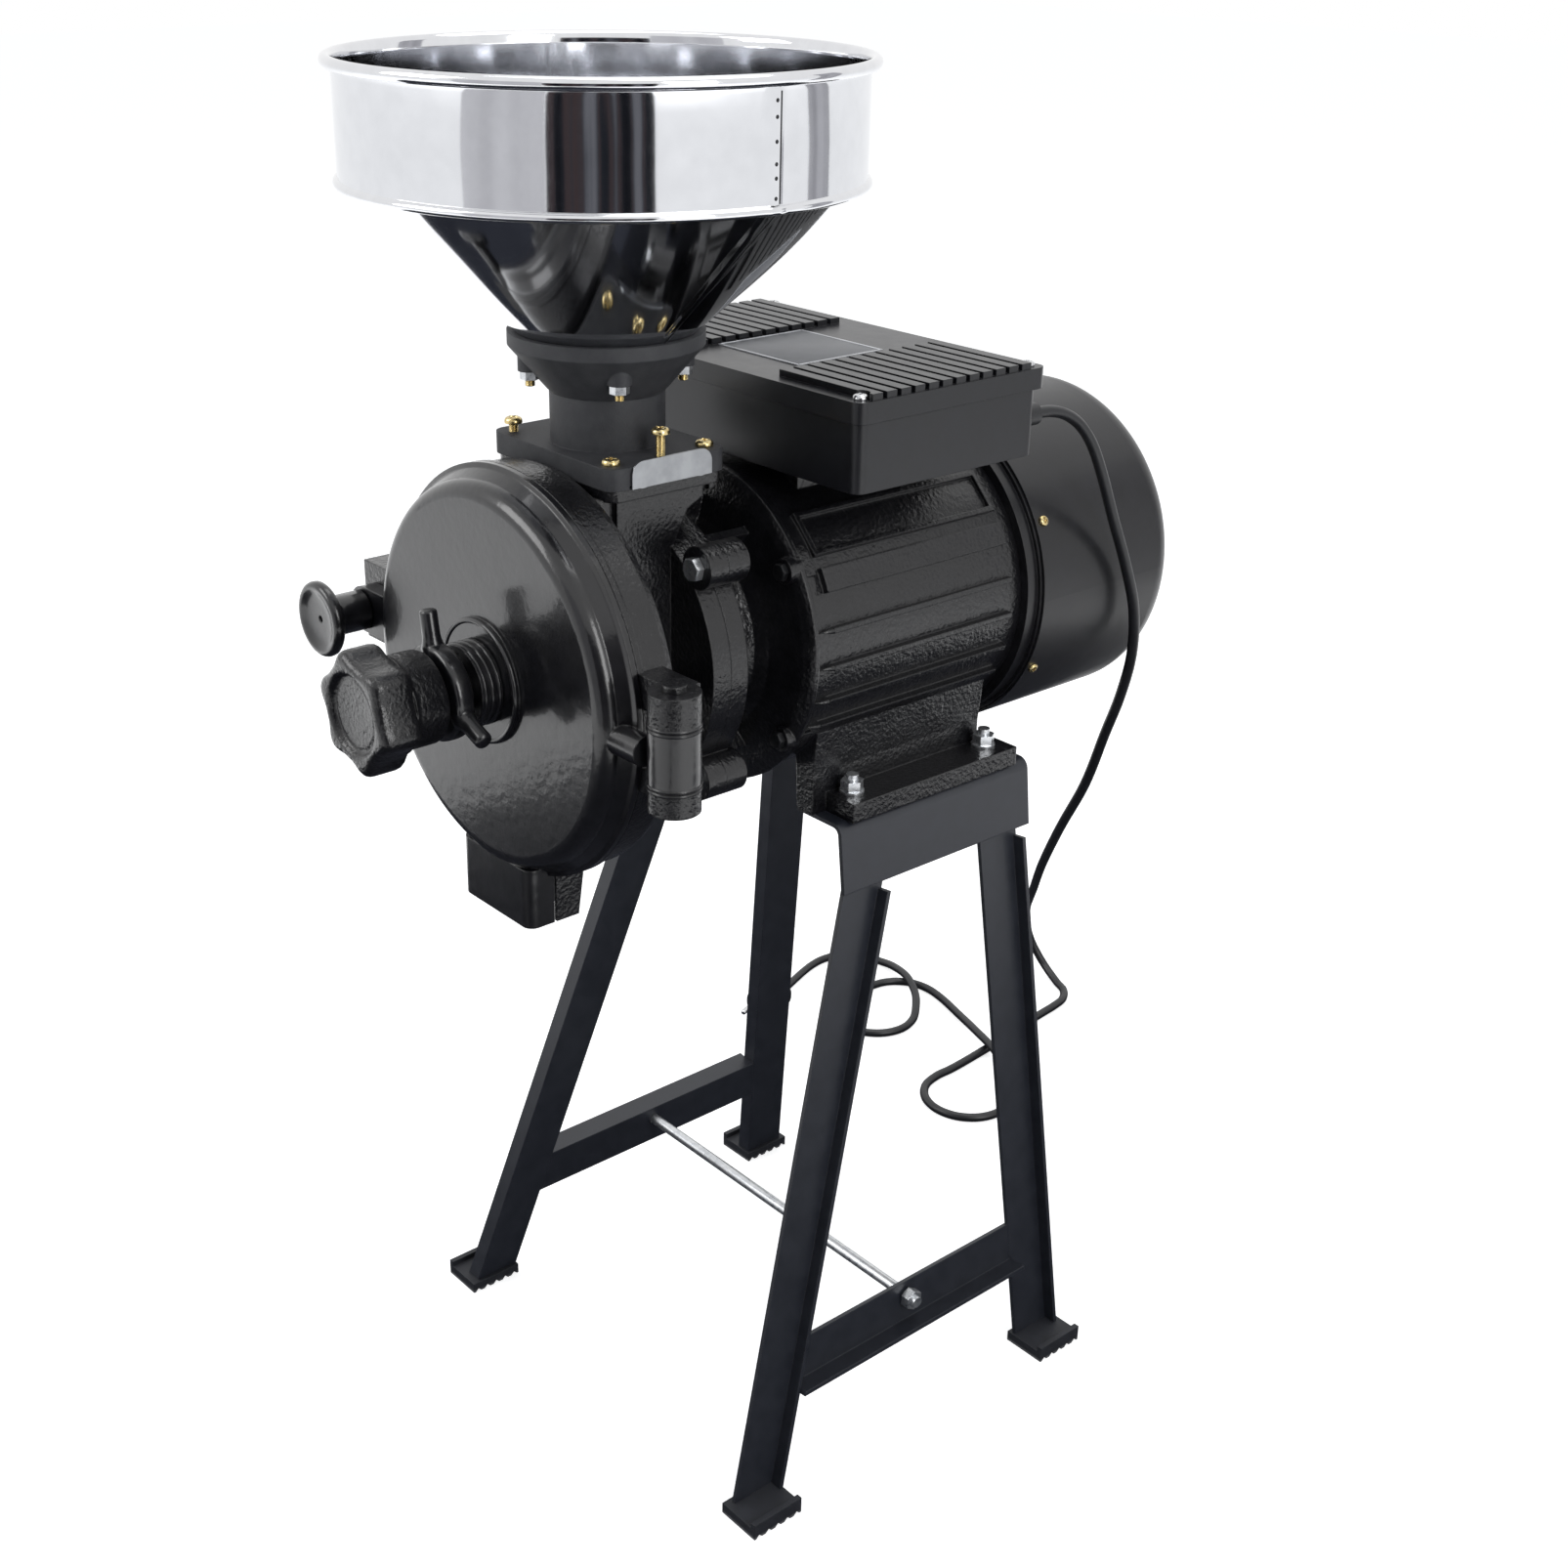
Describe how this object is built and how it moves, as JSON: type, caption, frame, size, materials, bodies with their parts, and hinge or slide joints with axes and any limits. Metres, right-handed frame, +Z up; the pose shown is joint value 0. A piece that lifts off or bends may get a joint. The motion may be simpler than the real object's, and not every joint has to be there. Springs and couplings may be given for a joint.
{
  "type": "electric grain mill",
  "caption": "Electric disc mill for dry grain with a hopper, a hinged grinding head, a direct motor and a steel stand.",
  "frame": {"origin": "floor, under the centre of the mill's box without its cord", "axes": "+X to the side of the cover's hinge, +Y along the shaft to the fan cover, +Z up"},
  "size_m": [0.5469, 0.8686, 0.9118],
  "materials": {
    "stand": "satin dark blue-grey powder coat",
    "feet": "matt dark grey rubber",
    "zinc": "bright zinc plate",
    "motor_paint": "black paint on a rough casting",
    "dark_steel": "blackened steel",
    "core_steel": "stacked sheets",
    "windings": "varnished copper wire",
    "bright_steel": "ground steel",
    "black_plastic": "satin moulded black plastic",
    "fan_cover_paint": "satin black paint on sheet",
    "brassed_screws": "yellow zinc plate",
    "chrome_screws": "bright plate",
    "capacitor_case": "pale moulded plastic",
    "label": "bare satin plate",
    "cord": "satin black jacket",
    "head_paint": "gloss black paint on a casting",
    "grey_iron": "bare casting",
    "inlet_iron": "matt dark grey",
    "stainless": "polished stainless sheet"
  },
  "bodies": {
    "machine": {"bar_right": "stand", "bar_left": "stand", "leg_front_right": "stand", "leg_rear_right": "stand", "leg_front_left": "stand", "leg_rear_left": "stand", "brace_right": "stand", "brace_left": "stand", "foot_front_right": "feet", "foot_rear_right": "feet", "foot_front_left": "feet", "foot_rear_left": "feet", "tie_rod": "zinc", "tie_rod_nuts": "zinc", "motor_bolts": "zinc", "motor_nuts": "zinc", "motor_body": "motor_paint", "front_shield": "motor_paint", "rear_shield": "motor_paint", "shield_screws": "dark_steel", "stator_core": "core_steel", "stator_windings": "windings", "front_bearing": "bright_steel", "rear_bearing": "bright_steel", "fan_cover": "fan_cover_paint", "fan_cover_screws": "brassed_screws", "capacitor_box": "black_plastic", "box_lid": "black_plastic", "lid_screws": "chrome_screws", "capacitors": "capacitor_case", "label_plate": "label", "cord_gland": "cord", "power_cord": "cord", "power_plug": "cord", "grinding_housing": "head_paint", "housing_bolts": "zinc", "hinge_pin": "head_paint", "inlet_collar": "inlet_iron", "flange_screws": "brassed_screws", "gate_screw": "brassed_screws", "hopper": "stainless", "hopper_bolts": "brassed_screws", "hopper_nuts": "zinc"},
    "rotor": {"motor_shaft": "bright_steel", "rotor_core": "core_steel", "cooling_fan": "black_plastic", "feed_auger": "grey_iron", "rotating_disc": "grey_iron", "disc_nut": "bright_steel"},
    "gate": {"slide_gate": "stainless"},
    "cover": {"front_cover": "head_paint"},
    "adjuster": {"thrust_plate": "grey_iron", "fixed_disc": "grey_iron", "disc_screws": "bright_steel"},
    "wheel": {"adjusting_screw": "dark_steel", "hand_wheel": "head_paint"},
    "lock": {"lock_ring": "head_paint"},
    "latch": {"latch_knob": "head_paint"}
  },
  "joints": [
    {"name": "rotor_spin", "type": "hinge", "parent": "machine", "child": "rotor", "pos_m": [0, 0, 0.565], "axis": [0, 1, 0], "continuous": true},
    {"name": "cover_swing", "type": "hinge", "parent": "machine", "child": "cover", "pos_m": [0.1525, -0.183, 0.565], "axis": [0, 0, 1], "range_deg": [0, 110]},
    {"name": "disc_travel", "type": "slide", "parent": "cover", "child": "adjuster", "axis": [0, -1, 0], "range_m": [0, 0.002]},
    {"name": "wheel_turn", "type": "hinge", "parent": "adjuster", "child": "wheel", "pos_m": [0, -0.279, 0.565], "axis": [0, -1, 0], "range_deg": [0, 360]},
    {"name": "lock_turn", "type": "hinge", "parent": "cover", "child": "lock", "pos_m": [0, -0.235, 0.565], "axis": [0, -1, 0], "range_deg": [0, 90]},
    {"name": "latch_turn", "type": "hinge", "parent": "cover", "child": "latch", "pos_m": [-0.152, -0.225, 0.565], "axis": [0, -1, 0], "range_deg": [0, 360]},
    {"name": "gate_slide", "type": "slide", "parent": "machine", "child": "gate", "axis": [1, 0, 0], "range_m": [0, 0.062]}
  ],
  "couplings": [
    {"joint": "disc_travel", "follows": "wheel_turn", "m_per_rad": 0.000318}
  ]
}
